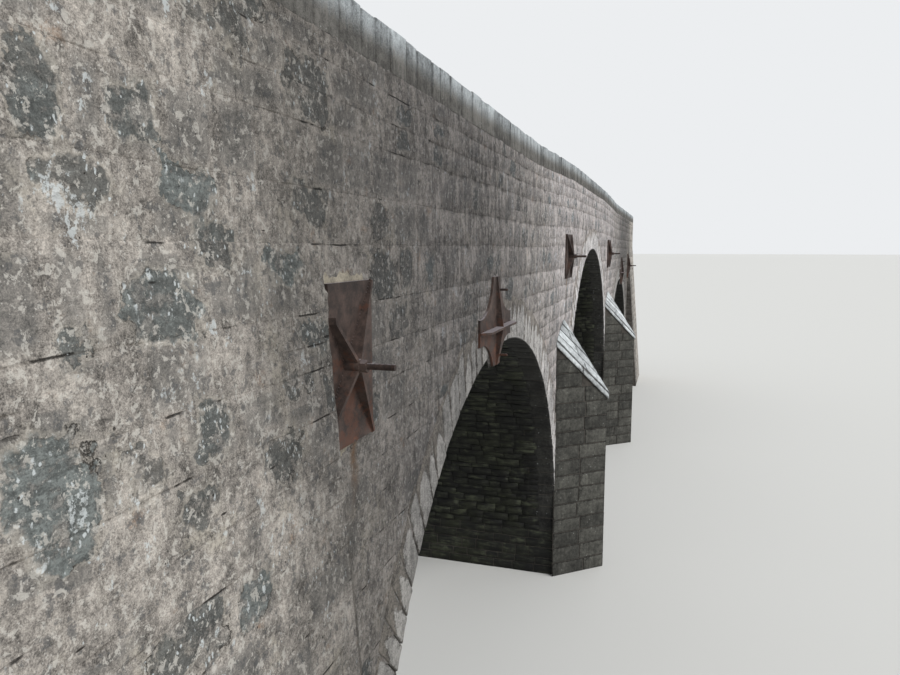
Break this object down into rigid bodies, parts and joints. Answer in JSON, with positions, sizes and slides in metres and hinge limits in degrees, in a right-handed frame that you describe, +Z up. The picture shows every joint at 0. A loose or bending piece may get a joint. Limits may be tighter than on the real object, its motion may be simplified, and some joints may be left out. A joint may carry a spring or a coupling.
{
  "type": "stone arch bridge",
  "caption": "Masonry road bridge on round arches, with pointed cutwaters, battered wing walls, solid parapets with upright coping, and rusted tie plates on through rods.",
  "frame": {"origin": "on the base, under the crown of the main arch and midway between the faces", "axes": "+X along the bridge to its east end, +Y from the front face to the back face, +Z up"},
  "size_m": [35, 6.3202, 7.88],
  "materials": {
    "wall_stone": "coursed rubble, mortar-smeared and weathered",
    "arch_stone": "dressed grey arch stones",
    "ashlar": "large squared blocks with open joints",
    "coping_stone": "upright weathered slabs",
    "rubble": "rough coursed rubble",
    "gravel": "rolled gravel",
    "rusted_iron": "rusted",
    "mortar": "fresh lime mortar"
  },
  "bodies": {
    "root": {"abutment_west": "rubble", "abutment_east": "rubble", "pier_west": "wall_stone", "pier_east": "wall_stone", "wing_wall_west_front": "wall_stone", "wing_wall_west_back": "wall_stone", "wing_wall_east_front": "wall_stone", "wing_wall_east_back": "wall_stone", "cutwater_west_front": "ashlar", "cutwater_west_back": "ashlar", "cutwater_east_front": "ashlar", "cutwater_east_back": "ashlar", "cutwater_cap_west_front": "ashlar", "cutwater_cap_west_back": "ashlar", "cutwater_cap_east_front": "ashlar", "cutwater_cap_east_back": "ashlar", "arch_barrel_west": "rubble", "arch_barrel_main": "rubble", "arch_barrel_east": "rubble", "arch_ring_west_front": "arch_stone", "arch_ring_main_front": "arch_stone", "arch_ring_east_front": "arch_stone", "arch_ring_west_back": "arch_stone", "arch_ring_main_back": "arch_stone", "arch_ring_east_back": "arch_stone", "spandrel_wall_front": "wall_stone", "spandrel_wall_back": "wall_stone", "rubble_core": "rubble", "road_surface_west": "gravel", "road_surface_middle": "gravel", "road_surface_east": "gravel", "parapet_front": "wall_stone", "parapet_back": "wall_stone", "coping_front": "coping_stone", "coping_back": "coping_stone", "saltire_plates_front": "rusted_iron", "saltire_plates_back": "rusted_iron", "cross_plates_front": "rusted_iron", "cross_plates_back": "rusted_iron", "tie_rods": "rusted_iron", "tie_rod_nuts": "rusted_iron", "plate_bedding": "mortar"}
  },
  "joints": []
}
